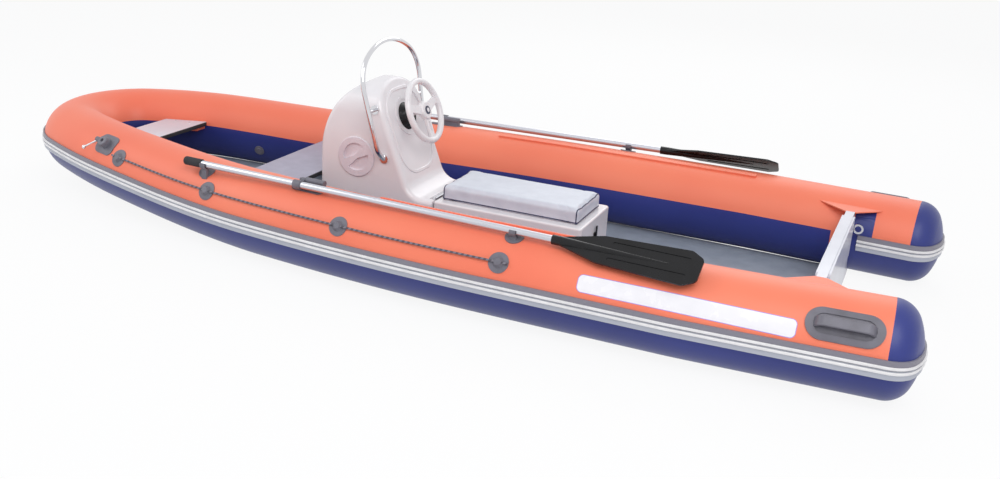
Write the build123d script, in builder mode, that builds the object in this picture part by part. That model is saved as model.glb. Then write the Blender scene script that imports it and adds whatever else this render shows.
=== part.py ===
from build123d import *
from math import acos, atan2, cos, degrees, pi, radians, sin, sqrt, tan
import os

# Rigid inflatable boat. X points to the bow, Y to port and Z up, in millimetres.
# The origin is on the centre line at the transom's aft face, at the waterline.

# Buoyancy tube: its centre line in plan, from the stern seam to the bow
stern_radius = 220
bow_radius = 200
tube_height = 230
half_spacing = 813
stern_seam = -310
toe_angle = 3
toe_bend_start = 524
toe_bend_radius = 2000
side_end = 1415
shoulder_radius = 11076
shoulder_turn = 13.05
cheek_radius = 2668
cheek_turn = 12.67
sheer_start = 2850
bow_rise = 62
colour_seam = 40
seam_gap = 0.2
cap_shoulder_radius = 120
cap_shoulder_turn = 65
seat_gap = 0.3

# Rubbing strake
strake_height = 84
strake_thickness = 6
strake_inboard_end = -45
rib_width = 13
rib_depth = 7
rib_bevel = 3
rib_spacing = 22

# Rigid hull, deck and transom
hull_inset = 58
hull_gap = 3
keel_half_width = 18
chine_flat = 34
deck_inset = 98
deck_thickness = 15
transom_thickness = 45
transom_top = 404
transom_half_top = 571
pad_width = 960
pad_height = 220
pad_corner = 20
pad_drop = 4
pad_thickness = 10
flap_thickness = 6
flap_reach = 225
flap_overlap = 35
flap_tuck = 100
eye_offset = 525
eye_height = 318
eye_radius = 22
eye_wire = 5
eye_plate_width = 44
eye_plate_height = 30
knob_offset = 540
knob_height = 330
knob_radius = 12
knob_length = 20

# Console
console_front = 2825
console_half_width = 235
console_wall = 6
console_arc_height = 465
console_arc_radius = 480
console_rounding = 28
dash_foot_x = 2255
dash_slope = 21.4
dash_foot_radius = 110
bridge_height = 292
bridge_aft = 2118
vault_corner_radius = 150
vault_corner_turn = 62
vault_top = 890
lip_middle = 345
lip_width = 392
lip_height = 490
lip_corner = 150
lip_border = 20
lip_depth = 7
lip_rounding = 5
pod_radius = 108
pod_border = 13
pod_depth = 5
hatch_x = 2590
hatch_height = 473
hatch_hole_radius = 95
hatch_spigot_gap = 2
hatch_spigot_depth = 20
hatch_flange_radius = 113
hatch_flange_depth = 7
hatch_rounding = 4
hatch_dish_radius = 78
hatch_dish_depth = 10
hatch_grip_ends = 52
hatch_grip_waist = 22
hatch_grip_angle = 35

# Seat
seat_aft = 1255
seat_front = 2108
seat_wall = 7
seat_corner = 20
lid_rounding = 10
lid_seam = 225
lid_top = 297
lid_pivot_gap = 5
cushion_inset_aft = 21
cushion_inset_front = 8
cushion_half_width = 194
cushion_thickness = 76
cushion_corner = 25
cushion_rounding = 18
hinge_radius = 4
hinge_length = 380
hinge_leaf = 36
hinge_leaf_thickness = 2
hinge_web = 3
latch_width = 34
latch_height = 44
latch_depth = 8
latch_hook_width = 16
latch_hook_length = 60
latch_hook_depth = 6
latch_drop = 34
latch_hook_drop = 4
latch_corner = 4

# Steering
wheel_radius = 185
wheel_rim = 17.5
wheel_centre_x = 2294
wheel_centre_height = 728
hub_radius = 50
hub_depth = 36
hub_rounding = 9
spoke_thickness = 13
spoke_root = 58
spoke_tip = 36
spoke_angles = (-15, 90, 195)
spoke_slot_width = 15
spoke_slot_length = 64
spoke_slot_middle = 95
bezel_radius = 78
bezel_face_radius = 48
bezel_depth = 34
shaft_radius = 10
shaft_clearance = 0.15
shaft_setback = 2
wheel_cap_radius = 23
wheel_cap_depth = 4

# Handrail
rail_radius = 13
rail_foot_x = 2415
rail_foot_height = 487
rail_foot_fore = 26
rail_foot_rise = 78
rail_base_half_width = 280
rail_half_width = 316
rail_lean = 11
rail_leg = 290
rail_side_radius = 190
rail_top_turn = 30
rail_standoff = 190
stub_radius = 9
flange_radius = 25
flange_depth = 6

# Oars and what holds them
oar_angle = -2.6
oar_shaft_radius = 18
oar_height = 472
oar_collar_x = 2575
oar_collar_offset = 838
oar_front = 3290
oar_neck = 1130
oar_blade_end = 480
grip_length = 100
grip_wall = 5
grip_end = 14
grip_rounding = 9
blade_width = 186
blade_tilt = 35
blade_thickness = 9
blade_neck_width = 46
blade_shoulder_length = 190
blade_shoulder_width = 150
blade_tip_length = 60
blade_tip_width = 118
blade_rounding = 26
blade_groove_length = 360
blade_groove_width = 17
blade_groove_offset = 44
blade_groove_setback = 55
blade_groove_depth = 2.5
blade_spine_share = 0.78
blade_spine_end = 6
socket_length = 40
socket_wall = 5
collar_length = 44
collar_wall = 5
pin_offset = 54
pin_rise = 10
pin_radius = 6
pin_clearance = 0.1
pin_head = 4
pin_head_length = 6
pin_eye_radius = 13
arm_depth = 22
arm_half_height = 8
arm_clearance = 5
barrel_radius = 17
barrel_length = 110
barrel_web = 26
barrel_foot = 60
rowlock_setback = 45
rowlock_angle = 81
rowlock_pad = (200, 84)
rowlock_pad_corner = 30
clip_places = (3172, 1363)
clip_gap = 3.5
clip_wall = 6
clip_rise = 10
clip_length = 32
clip_stem_width = 24
clip_stem_reach = 62
clip_pad_radius = 46
fitting_pad_depth = 5

# Lifeline, handles, anchor lock and valves on the tubes
patch_places = (3800, 3099, 2244, 1388)
patch_angle = 32
patch_radius = 50
patch_depth = 4
patch_dome_foot = 2
patch_dome_radius = 28
patch_dome_top = 16
rope_radius = 5.5
rope_lift = 11
rope_cover = 5
rope_sides = 8
rope_ends = (1340, 3850)
rope_steps = 6
handle_x = -128
handle_angle = 37
handle_pad = (320, 142)
handle_pad_depth = 8
handle_recess = (252, 88)
handle_recess_floor = 3
handle_foot = 128
handle_span = 108
handle_rise = 50
handle_bend = 32
handle_bar_width = 44
handle_bar_thickness = 14
handle_bar_rounding = 5
lock_x = 3945
lock_angle = 45
lock_pad = (150, 122)
lock_pad_corner = 36
lock_drum_radius = 32
lock_drum_foot = 1
lock_drum_height = 44
lock_drum_rounding = 6
lock_bore_radius = 11
lock_bore_depth = 26
lock_arm_radius = 16
lock_arm_height = 24
lock_arm_length = 66
lever_way = (0.45, 1, 0.3)
lever_radius = 5
lever_length = 80
lever_seat = 10
lever_ball_radius = 11
lever_setback = 54
valve_radius = 32
valve_depth = 6
valve_cap_radius = 20
valve_cap_depth = 13
valve_places = (
    # x, angle, side
    (3710, 200, 1),
    (3710, 200, -1),
    (4180, 200, 1),
)
disc_margin = 0.1

# Benches
bench_thickness = 20
bench_clearance = 6
bench_corner = 12
shelf_depth = 26
shelf_width = 90
shelf_reach = 60
shelf_setback = 20
benches = (
    # name, aft edge, fore edge, underside height
    ("mid_bench", 2865, 3205, 305),
    ("bow_bench", 4010, 4270, 330),
)
track_angle = 103
track_width = 28
track_depth = 9
track_gap = 0.6
track_ends = (570, 2150)
track_steps = 5

os.makedirs("parts", exist_ok=True)


def save(piece, name):
    piece.part.label = name
    export_step(piece.part, f"parts/{name}.step")


def mirrored(piece):
    with BuildPart() as other:
        mirror(piece.part, about=Plane.XZ)
    return other


def save_pair(piece, name):
    save(piece, f"{name}_port")
    save(mirrored(piece), f"{name}_starboard")


def save_both(piece, name):
    """One node for a fitting and its like on the other side."""
    with BuildPart() as both:
        add(piece.part)
        mirror(piece.part, about=Plane.XZ)
    save(both, name)


# The tube's centre line in plan, on the port side
with BuildLine() as run:
    toe_end = Vector(toe_bend_start, half_spacing - toe_bend_radius * (1 - cos(radians(toe_angle))))
    toe_reach = stern_seam - toe_bend_start
    toe = Line(toe_end + Vector(toe_reach, toe_reach * tan(radians(toe_angle))), toe_end)
    bend = JernArc(toe @ 1, toe % 1, toe_bend_radius, -toe_angle)
    side = Line(bend @ 1, (side_end, (bend @ 1).Y))
    shoulder = JernArc(side @ 1, side % 1, shoulder_radius, -shoulder_turn)
    cheek = JernArc(shoulder @ 1, shoulder % 1, cheek_radius, -cheek_turn)
    nose_radius = (cheek @ 1).Y / cos(radians(shoulder_turn + cheek_turn))
    nose = JernArc(cheek @ 1, cheek % 1, nose_radius, shoulder_turn + cheek_turn - 90)
centre_line = run.wires()[0]
straight_length = toe.length + bend.length + side.length
chamber_joint = straight_length + shoulder.length
nose_start = chamber_joint + cheek.length
nose_turn = 180 - 2 * (shoulder_turn + cheek_turn)
bend_axis = Axis(bend.arc_center, (0, 0, -1))
shoulder_axis = Axis(shoulder.arc_center, (0, 0, -1))
nose_axis = Axis(nose.arc_center, (0, 0, -1))


def along_at(x):
    """Length along the tube's line at which it reaches x."""
    low, high = 0, centre_line.length
    while high - low > 0.01:
        middle = (low + high) / 2
        if centre_line.position_at(middle, PositionMode.LENGTH).X < x:
            low = middle
        else:
            high = middle
    return low


sheer_length = along_at(sheer_start)
sheer_turn = degrees((sheer_length - straight_length) / shoulder_radius)


def share(along):
    """0 up to where the bow begins to rise and taper, growing to 1 where its nose begins."""
    return min(1, max(0, (along - sheer_length) / (nose_start - sheer_length)))


def radius_at(along):
    return stern_radius + (bow_radius - stern_radius) * share(along)


def height_at(along):
    return tube_height + bow_rise * (1 - cos(pi * share(along))) / 2


def station(along):
    """Plane across the tube: local x outboard, local y up, local z along the tube to the bow."""
    foot = centre_line.position_at(along, PositionMode.LENGTH)
    way = centre_line.tangent_at(along, PositionMode.LENGTH)
    climb = bow_rise * pi / 2 * sin(pi * share(along)) / (nose_start - sheer_length)
    return Plane((foot.X, foot.Y, height_at(along)), (-way.Y, way.X, 0), (way.X, way.Y, climb))


def inboard_at(x, inset):
    """The y that lies an inset inboard of the tube's centre line at x."""
    along = along_at(x)
    way = centre_line.tangent_at(along, PositionMode.LENGTH)
    return centre_line.position_at(along, PositionMode.LENGTH).Y - inset / way.X


def underside_at(x, inset):
    """Height of the tube's underside an inset inboard of its centre line at x."""
    along = along_at(x)
    return height_at(along) - sqrt(radius_at(along) ** 2 - inset**2)


def inner_face(x, height):
    """Half the clear width between the tubes at a height."""
    along = along_at(x)
    return inboard_at(x, sqrt(radius_at(along) ** 2 - (height - height_at(along)) ** 2))


def stations_between(start, end, steps):
    return [start + (end - start) * step / steps for step in range(steps + 1)]


rise_stations = stations_between(sheer_length, chamber_joint, 3)
cheek_stations = stations_between(chamber_joint, nose_start, 3)


def follow_side(section_at):
    """Add what a section leaves along the port tube, from the stern seam to the bow chamber."""
    extrude(section_at(0), amount=toe.length)
    revolve(section_at(toe.length), axis=bend_axis, revolution_arc=toe_angle)
    extrude(section_at(toe.length + bend.length), amount=side.length)
    revolve(section_at(straight_length), axis=shoulder_axis, revolution_arc=sheer_turn)
    loft([section_at(along) for along in rise_stations])


def tube_section(along, crown):
    """The tube's section above (crown 1) or below (crown -1) the seam between its two colours."""
    radius = radius_at(along)
    seam = colour_seam + crown * seam_gap / 2
    half_chord = sqrt(radius**2 - seam**2)
    with BuildSketch(station(along)) as section:
        with BuildLine():
            Line((-half_chord, seam), (half_chord, seam))
            ThreePointArc((half_chord, seam), (0, crown * radius), (-half_chord, seam))
        make_face()
    return section.sketch


for level, crown in (("upper", 1), ("lower", -1)):
    with BuildPart() as tube_side:
        follow_side(lambda along: tube_section(along, crown))
    save_pair(tube_side, f"tube_{level}")
    with BuildPart() as tube_bow:
        loft([tube_section(along, crown) for along in cheek_stations])
        mirror(about=Plane.XZ)
        revolve(tube_section(nose_start, crown), axis=nose_axis, revolution_arc=nose_turn)
    save(tube_bow, f"tube_{level}_bow")

# Domed stern caps: a shoulder arc and an end arc turned about the tube's centre line
cap_drop = cap_shoulder_radius * (1 - cos(radians(cap_shoulder_turn)))
cap_end_radius = (stern_radius - cap_drop) / cos(radians(cap_shoulder_turn))
stern_plane = station(0)
cap_plane = Plane(stern_plane.origin, -stern_plane.z_dir, stern_plane.y_dir)
with BuildPart() as stern_cap:
    with BuildSketch(cap_plane):
        with BuildLine():
            base = Line((0, 0), (0, stern_radius))
            cap_side = JernArc(base @ 1, (1, 0), cap_shoulder_radius, -cap_shoulder_turn)
            cap_end = JernArc(cap_side @ 1, cap_side % 1, cap_end_radius, cap_shoulder_turn - 90)
            Line(cap_end @ 1, base @ 0)
        make_face()
    revolve(axis=Axis(stern_plane.origin, -stern_plane.z_dir))
save_pair(stern_cap, "stern_cap")

# Rubbing strake: a band and two ribs that follow the tube from stern to stern, round both caps
shoulder_reach = stern_radius - cap_shoulder_radius
outer_shoulder_axis = Axis(stern_plane.from_local_coords((shoulder_reach, 0, 0)), (0, 0, 1))
inner_shoulder_axis = Axis(stern_plane.from_local_coords((-shoulder_reach, 0, 0)), (0, 0, 1))
cap_end_centre = (cap_end_radius - cap_shoulder_radius) * sin(radians(cap_shoulder_turn))
cap_end_axis = Axis(stern_plane.from_local_coords((0, 0, cap_end_centre)), (0, 0, 1))
strake_inboard_length = (strake_inboard_end - stern_seam) / cos(radians(toe_angle))


def band_section(along):
    """The band's section: its back is hollow enough to lie on the cap's end as well as on the tube."""
    edge = strake_height / 2
    back = radius_at(along) + seat_gap
    hollow = cap_end_radius - sqrt(cap_end_radius**2 - edge**2)
    face = back + strake_thickness
    with BuildSketch(station(along)) as section:
        with BuildLine():
            ThreePointArc((back - hollow, -edge), (back, 0), (back - hollow, edge))
            Polyline((back - hollow, edge), (face, edge), (face, -edge), (back - hollow, -edge))
        make_face()
    return section.sketch


def rib_section(along, level):
    """A bevelled rib that sits on the band's face, level above or below its middle."""
    face = radius_at(along) + strake_thickness + 2 * seat_gap
    low = level - rib_width / 2
    high = level + rib_width / 2
    with BuildSketch(station(along)) as section:
        Polygon(
            (face, low), (face + rib_depth - rib_bevel, low), (face + rib_depth, low + rib_bevel),
            (face + rib_depth, high - rib_bevel), (face + rib_depth - rib_bevel, high), (face, high),
            align=None,
        )
    return section.sketch


def follow_tube(section_at):
    """The solid that a section leaves along the whole tube, from inboard of one stern to the other."""
    with BuildPart() as piece:
        seam_section = section_at(0)
        revolve(seam_section, axis=outer_shoulder_axis, revolution_arc=cap_shoulder_turn)
        corner_section = seam_section.rotate(outer_shoulder_axis, cap_shoulder_turn)
        end_turn = 180 - 2 * cap_shoulder_turn
        revolve(corner_section, axis=cap_end_axis, revolution_arc=end_turn)
        inner_section = corner_section.rotate(cap_end_axis, end_turn)
        revolve(inner_section, axis=inner_shoulder_axis, revolution_arc=cap_shoulder_turn)
        inboard_section = inner_section.rotate(inner_shoulder_axis, cap_shoulder_turn)
        extrude(inboard_section, amount=strake_inboard_length, dir=stern_plane.z_dir)
        follow_side(section_at)
        loft([section_at(along) for along in cheek_stations])
        mirror(about=Plane.XZ)
        revolve(section_at(nose_start), axis=nose_axis, revolution_arc=nose_turn)
    return piece


rub_strake = follow_tube(band_section)
save(rub_strake, "rub_strake")
upper_rib = follow_tube(lambda along: rib_section(along, rib_spacing / 2))
lower_rib = follow_tube(lambda along: rib_section(along, -rib_spacing / 2))
with BuildPart() as rub_strake_ribs:
    add(upper_rib.part)
    add(lower_rib.part)
save(rub_strake_ribs, "rub_strake_ribs")

# Rigid hull: sections across the boat that hang from the tubes' lower inner sides
hull_sections = (
    # x, chine half width, chine height, keel height
    (transom_thickness, 650, -5, -115),
    (950, 668, -5, -115),
    (1900, 650, -5, -115),
    (sheer_start, 555, 0, -110),
    (3450, 420, 10, -85),
    (4050, 230, 30, -25),
    (4450, 90, 50, 25),
)
flat_count = 4


def hull_outline(x, chine_half, chine_height, keel_height):
    """Half of a hull section, from the keel to the flange under the tube."""
    return (
        (keel_half_width, keel_height),
        (chine_half - chine_flat, chine_height),
        (chine_half, chine_height),
        (inboard_at(x, hull_inset), underside_at(x, hull_inset) - hull_gap),
    )


def hull_section(row):
    half = hull_outline(*row)
    other = [(-y, z) for y, z in reversed(half)]
    with BuildSketch(Plane((row[0], 0, 0), (0, 1, 0), (1, 0, 0))) as section:
        Polygon(*half, *other, align=None)
    return section.sketch


def deck_section(row):
    x = row[0]
    level = underside_at(x, hull_inset) - hull_gap + seat_gap
    with BuildSketch(Plane((x, 0, level), (0, 1, 0), (1, 0, 0))) as section:
        Rectangle(2 * inboard_at(x, deck_inset), deck_thickness, align=(Align.CENTER, Align.MIN))
    return section.sketch


with BuildPart() as hull_bottom:
    loft([hull_section(row) for row in hull_sections[:flat_count]])
    loft([hull_section(row) for row in hull_sections[flat_count - 1:]])
save(hull_bottom, "hull_bottom")

# Deck: a sheet on the hull's top, out to the tubes
with BuildPart() as deck:
    loft([deck_section(row) for row in hull_sections[:flat_count]])
    loft([deck_section(row) for row in hull_sections[flat_count - 1:]])
save(deck, "deck")
deck_level = underside_at(transom_thickness, hull_inset) - hull_gap + deck_thickness + 2 * seat_gap

# The room that the straight stern tube takes
with BuildPart() as stern_room:
    with BuildSketch(stern_plane):
        Circle(stern_radius + seat_gap)
    extrude(amount=toe.length)

# Transom board, cut to the tubes it stands between
transom_outline = hull_outline(*hull_sections[0])
with BuildPart() as transom:
    with BuildSketch(Plane.YZ):
        with BuildLine():
            Polyline(
                (0, transom_outline[0][1]), *transom_outline, (transom_outline[-1][0], tube_height),
                (transom_half_top, tube_height), (transom_half_top, transom_top), (0, transom_top),
            )
            mirror(about=Plane.YZ)
        make_face()
    extrude(amount=transom_thickness)
    for side_sign in (1, -1):
        with BuildSketch(Plane.YZ):
            with Locations((side_sign * transom_half_top, transom_top)):
                Rectangle(2 * (flap_overlap + seat_gap), 2 * (flap_thickness + 2 * seat_gap))
        extrude(amount=transom_thickness, mode=Mode.SUBTRACT)
    add(stern_room.part, mode=Mode.SUBTRACT)
    mirror(stern_room.part, about=Plane.XZ, mode=Mode.SUBTRACT)
save(transom, "transom")

# Plates on the transom's two faces for a motor's clamps
with BuildPart() as transom_pads:
    for face, outward in ((transom_thickness, 1), (0, -1)):
        with BuildSketch(Plane.YZ.offset(face + outward * seat_gap)):
            with Locations((0, transom_top - pad_height / 2 - pad_drop)):
                RectangleRounded(pad_width, pad_height, pad_corner)
        extrude(amount=outward * pad_thickness)
save(transom_pads, "transom_pads")

# Fabric flaps that tie the transom's top corners to the tubes, let into the board's corners
with BuildPart() as transom_flap:
    with BuildSketch(Plane.XY.offset(transom_top - seat_gap)):
        Polygon(
            (transom_thickness + flap_reach, half_spacing - flap_tuck),
            (transom_thickness + flap_thickness, transom_half_top - flap_overlap),
            (-flap_thickness, transom_half_top - flap_overlap),
            (-flap_reach, half_spacing - flap_tuck), align=None,
        )
    extrude(amount=-flap_thickness)
    add(stern_room.part, mode=Mode.SUBTRACT)
save_both(transom_flap, "transom_flaps")

# Towing eyes on the transom's aft face, and the drain knobs on its fore face
with BuildPart() as transom_eye:
    with BuildSketch(Plane.YZ.offset(-seat_gap)):
        with Locations((eye_offset, eye_height)):
            RectangleRounded(eye_plate_width, eye_plate_height, eye_wire)
    extrude(amount=-eye_wire)
    with BuildSketch(Plane.XZ.offset(-eye_offset - eye_wire)):
        with Locations((-eye_radius - 2 * eye_wire, eye_height)):
            Circle(eye_radius + eye_wire)
            Circle(eye_radius - eye_wire, mode=Mode.SUBTRACT)
    extrude(amount=2 * eye_wire)
save_both(transom_eye, "transom_eyes")
with BuildPart() as transom_knob:
    with BuildSketch(Plane.YZ.offset(transom_thickness + seat_gap)):
        with Locations((knob_offset, knob_height)):
            Circle(knob_radius)
    extrude(amount=knob_length)
    chamfer(transom_knob.faces().sort_by(Axis.X)[-1].edges(), knob_radius / 4)
save_both(transom_knob, "transom_knobs")

# Steering console: a hollow moulding with an arched back, a vaulted top, a sloping dash with a raised
# lip, and a bridge to the seat
wheel_axis = Vector(-cos(radians(dash_slope)), 0, sin(radians(dash_slope)))
dash_foot = Vector(dash_foot_x, 0, bridge_height)
arc_centre = Vector(console_front - console_arc_radius, 0, console_arc_height)
arc_setback = (arc_centre - dash_foot).dot(wheel_axis)
dash_plane = Plane(dash_foot, (0, -1, 0), wheel_axis)
wheel_plane = Plane((wheel_centre_x, 0, wheel_centre_height), (0, 1, 0), wheel_axis)
wheel_standoff = (wheel_plane.origin - dash_foot).dot(wheel_axis)
helm_plane = wheel_plane.offset(-wheel_standoff)


def console_profile(inset):
    """The console seen from its side: its skin, or its inside where inset is the wall."""
    radius = console_arc_radius - inset
    turn = degrees(acos((inset + arc_setback) / radius)) - dash_slope
    foot_slip = inset / cos(radians(dash_slope)) - inset * tan(radians(dash_slope))
    foot = (dash_foot_x + foot_slip, bridge_height - inset)
    with BuildSketch(Plane.XZ) as profile:
        with BuildLine():
            front = Line((console_front - inset, deck_level), (console_front - inset, console_arc_height))
            back = CenterArc((arc_centre.X, arc_centre.Z), radius, 0, turn)
            Polyline(
                back @ 1, foot, (bridge_aft + inset, bridge_height - inset),
                (bridge_aft + inset, deck_level), front @ 0,
            )
        make_face()
        fillet(profile.vertices().sort_by_distance(foot)[0], dash_foot_radius + inset)
    return profile.sketch


def console_front_view(inset):
    """The console seen from the bow: upright sides under a vault of three arcs."""
    half_width = console_half_width - inset
    corner_radius = vault_corner_radius - inset
    turn = radians(vault_corner_turn)
    top_radius = (half_width - corner_radius * (1 - cos(turn))) / cos(turn)
    spring = vault_top - inset - top_radius * (1 - sin(turn)) - corner_radius * sin(turn)
    with BuildSketch(Plane.YZ.offset(bridge_aft)) as view:
        with BuildLine():
            wall = Line((half_width, deck_level), (half_width, spring))
            corner = JernArc(wall @ 1, (0, 1), corner_radius, vault_corner_turn)
            crown = JernArc(corner @ 1, corner % 1, top_radius, 180 - 2 * vault_corner_turn)
            far_corner = JernArc(crown @ 1, crown % 1, corner_radius, vault_corner_turn)
            Line(far_corner @ 1, (-half_width, deck_level))
            Line((-half_width, deck_level), wall @ 0)
        make_face()
    return view.sketch


def console_form(inset):
    """The profile and the front view cut to each other, with the edges between them rounded."""
    with BuildPart() as form:
        extrude(console_profile(inset), amount=console_half_width - inset, both=True)
        extrude(console_front_view(inset), amount=console_front - bridge_aft, mode=Mode.INTERSECT)
        rims = form.edges().filter_by(Axis.Y, reverse=True)
        rims = rims.filter_by_position(Axis.X, bridge_aft + inset + 1, console_front)
        rims = rims.filter_by_position(Axis.Z, deck_level + 1, vault_top)
        seams = rims.filter_by(Axis.X).filter_by_position(Axis.Z, bridge_height + 1, vault_top)
        fillet(rims - seams, console_rounding - inset)
    return form.part


with BuildPart() as console:
    add(console_form(0))
    with BuildSketch(dash_plane):
        with Locations((0, lip_middle)):
            RectangleRounded(lip_width, lip_height, lip_corner)
            RectangleRounded(
                lip_width - 2 * lip_border, lip_height - 2 * lip_border, lip_corner - lip_border,
                mode=Mode.SUBTRACT,
            )
    extrude(amount=lip_depth)
    lip_face = console.faces().filter_by(dash_plane).sort_by(Axis(dash_foot, wheel_axis))[-1]
    fillet(lip_face.edges(), lip_rounding)
    with BuildSketch(helm_plane):
        Circle(pod_radius)
        Circle(pod_radius - pod_border, mode=Mode.SUBTRACT)
    extrude(amount=pod_depth)
    add(console_form(console_wall), mode=Mode.SUBTRACT)
    with BuildSketch(Plane.XZ.offset(-console_half_width - 1)):
        with Locations((hatch_x, hatch_height)):
            Circle(hatch_hole_radius)
    extrude(amount=2 * console_wall, mode=Mode.SUBTRACT)
save(console, "console")

# Hatch in the console's port side: a flanged ring and a screw-in cover with a moulded grip
hatch_plane = Plane((hatch_x, console_half_width + seat_gap, hatch_height), (-1, 0, 0), (0, 1, 0))
with BuildPart() as console_hatch:
    with BuildSketch(hatch_plane):
        Circle(hatch_flange_radius)
    extrude(amount=hatch_flange_depth)
    fillet(console_hatch.faces().sort_by(Axis.Y)[-1].edges(), hatch_rounding)
    with BuildSketch(hatch_plane):
        Circle(hatch_hole_radius - hatch_spigot_gap)
    extrude(amount=-hatch_spigot_depth)
    with BuildSketch(hatch_plane.offset(hatch_flange_depth)):
        Circle(hatch_dish_radius)
        with Locations(Location((0, 0), hatch_grip_angle)):
            Polygon(
                (hatch_dish_radius, hatch_grip_ends / 2), (0, hatch_grip_waist / 2),
                (-hatch_dish_radius, hatch_grip_ends / 2), (-hatch_dish_radius, -hatch_grip_ends / 2),
                (0, -hatch_grip_waist / 2), (hatch_dish_radius, -hatch_grip_ends / 2),
                align=None, mode=Mode.SUBTRACT,
            )
    extrude(amount=-hatch_dish_depth, mode=Mode.SUBTRACT)
save(console_hatch, "console_hatch")

# Seat: a box on the deck, a lid that hinges at its front edge, and the cushion on it
seat_length = seat_front - seat_aft
seat_width = 2 * console_half_width
seat_middle = (seat_aft + seat_front) / 2
with BuildPart() as seat_box:
    with BuildSketch(Plane.XY.offset(deck_level)):
        with Locations((seat_middle, 0)):
            RectangleRounded(seat_length, seat_width, seat_corner)
    extrude(amount=lid_seam - deck_level)
    with BuildSketch(Plane.XY.offset(deck_level + seat_wall)):
        with Locations((seat_middle, 0)):
            RectangleRounded(seat_length - 2 * seat_wall, seat_width - 2 * seat_wall, seat_corner - seat_wall)
    extrude(amount=lid_seam - deck_level, mode=Mode.SUBTRACT)
save(seat_box, "seat_box")
with BuildPart() as seat_lid:
    with BuildSketch(Plane.XY.offset(lid_seam + 2 * seat_gap)):
        with Locations((seat_middle, 0)):
            RectangleRounded(seat_length, seat_width, seat_corner)
    extrude(amount=lid_top - lid_seam - 2 * seat_gap)
    fillet(seat_lid.faces().sort_by(Axis.Z)[-1].edges(), lid_rounding)
    with BuildSketch(Plane.XY.offset(lid_seam)):
        with Locations((seat_middle, 0)):
            RectangleRounded(seat_length - 2 * seat_wall, seat_width - 2 * seat_wall, seat_corner - seat_wall)
    extrude(amount=lid_top - lid_seam - seat_wall, mode=Mode.SUBTRACT)
save(seat_lid, "seat_lid")
cushion_length = seat_length - cushion_inset_aft - cushion_inset_front
with BuildPart() as seat_cushion:
    with BuildSketch(Plane.XY.offset(lid_top + seat_gap)):
        with Locations((seat_aft + cushion_inset_aft + cushion_length / 2, 0)):
            RectangleRounded(cushion_length, 2 * cushion_half_width, cushion_corner)
    extrude(amount=cushion_thickness)
    fillet(seat_cushion.faces().sort_by(Axis.Z)[-1].edges(), cushion_rounding)
save(seat_cushion, "seat_cushion")

# Piano hinge along the lid's front edge, and the toggle latch on its aft face
hinge_x = seat_front + lid_pivot_gap
with BuildPart() as seat_hinge:
    with BuildSketch(Plane.XZ.offset(-hinge_length / 2)):
        with Locations((hinge_x, lid_top + hinge_radius)):
            Circle(hinge_radius)
        with Locations((hinge_x + hinge_radius / 2, bridge_height + seat_gap)):
            Rectangle(hinge_leaf, hinge_leaf_thickness, align=(Align.MIN, Align.MIN))
            Rectangle(hinge_web, lid_top - bridge_height + hinge_radius, align=(Align.MIN, Align.MIN))
    extrude(amount=hinge_length)
save(seat_hinge, "seat_hinge")
with BuildPart() as seat_latch:
    with BuildSketch(Plane.YZ.offset(seat_aft - seat_gap)):
        with Locations((0, lid_seam - latch_drop)):
            RectangleRounded(latch_width, latch_height, latch_corner)
    extrude(amount=-latch_depth)
    with BuildSketch(Plane.YZ.offset(seat_aft - latch_depth)):
        with Locations((0, lid_seam - latch_hook_drop)):
            RectangleRounded(latch_hook_width, latch_hook_length, latch_corner)
    extrude(amount=-latch_hook_depth)
save(seat_latch, "seat_latch")

# Helm: bezel on the dash, then the wheel with its shaft on an axis square to the dash
with BuildPart() as helm_bezel:
    with BuildSketch(helm_plane.offset(seat_gap)):
        Circle(bezel_radius)
    with BuildSketch(helm_plane.offset(seat_gap + bezel_depth)):
        Circle(bezel_face_radius)
    loft()
    with BuildSketch(helm_plane):
        Circle(shaft_radius + shaft_clearance)
    extrude(amount=2 * bezel_depth, mode=Mode.SUBTRACT)
save(helm_bezel, "helm_bezel")
spoke_reach = wheel_radius - wheel_rim
with BuildPart() as steering_wheel:
    with BuildSketch(wheel_plane.offset(-hub_depth / 2)):
        Circle(hub_radius)
    extrude(amount=hub_depth)
    fillet(steering_wheel.edges(), hub_rounding)
    with BuildSketch(wheel_plane.offset(-spoke_thickness / 2)):
        for angle in spoke_angles:
            with Locations(Location((0, 0), angle)):
                Polygon(
                    (0, spoke_root / 2), (spoke_reach, spoke_tip / 2),
                    (spoke_reach, -spoke_tip / 2), (0, -spoke_root / 2), align=None,
                )
        with Locations((0, spoke_slot_middle)):
            SlotOverall(spoke_slot_length, spoke_slot_width, rotation=90, mode=Mode.SUBTRACT)
    extrude(amount=spoke_thickness)
    with Locations(wheel_plane.location):
        Torus(spoke_reach, wheel_rim)
    with BuildSketch(helm_plane.offset(shaft_setback)):
        Circle(shaft_radius)
    extrude(amount=wheel_standoff - shaft_setback)
save(steering_wheel, "steering_wheel")
with BuildPart() as wheel_cap:
    with BuildSketch(wheel_plane.offset(hub_depth / 2 + seat_gap)):
        Circle(wheel_cap_radius)
    extrude(amount=wheel_cap_depth)
save(wheel_cap, "wheel_cap")

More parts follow.
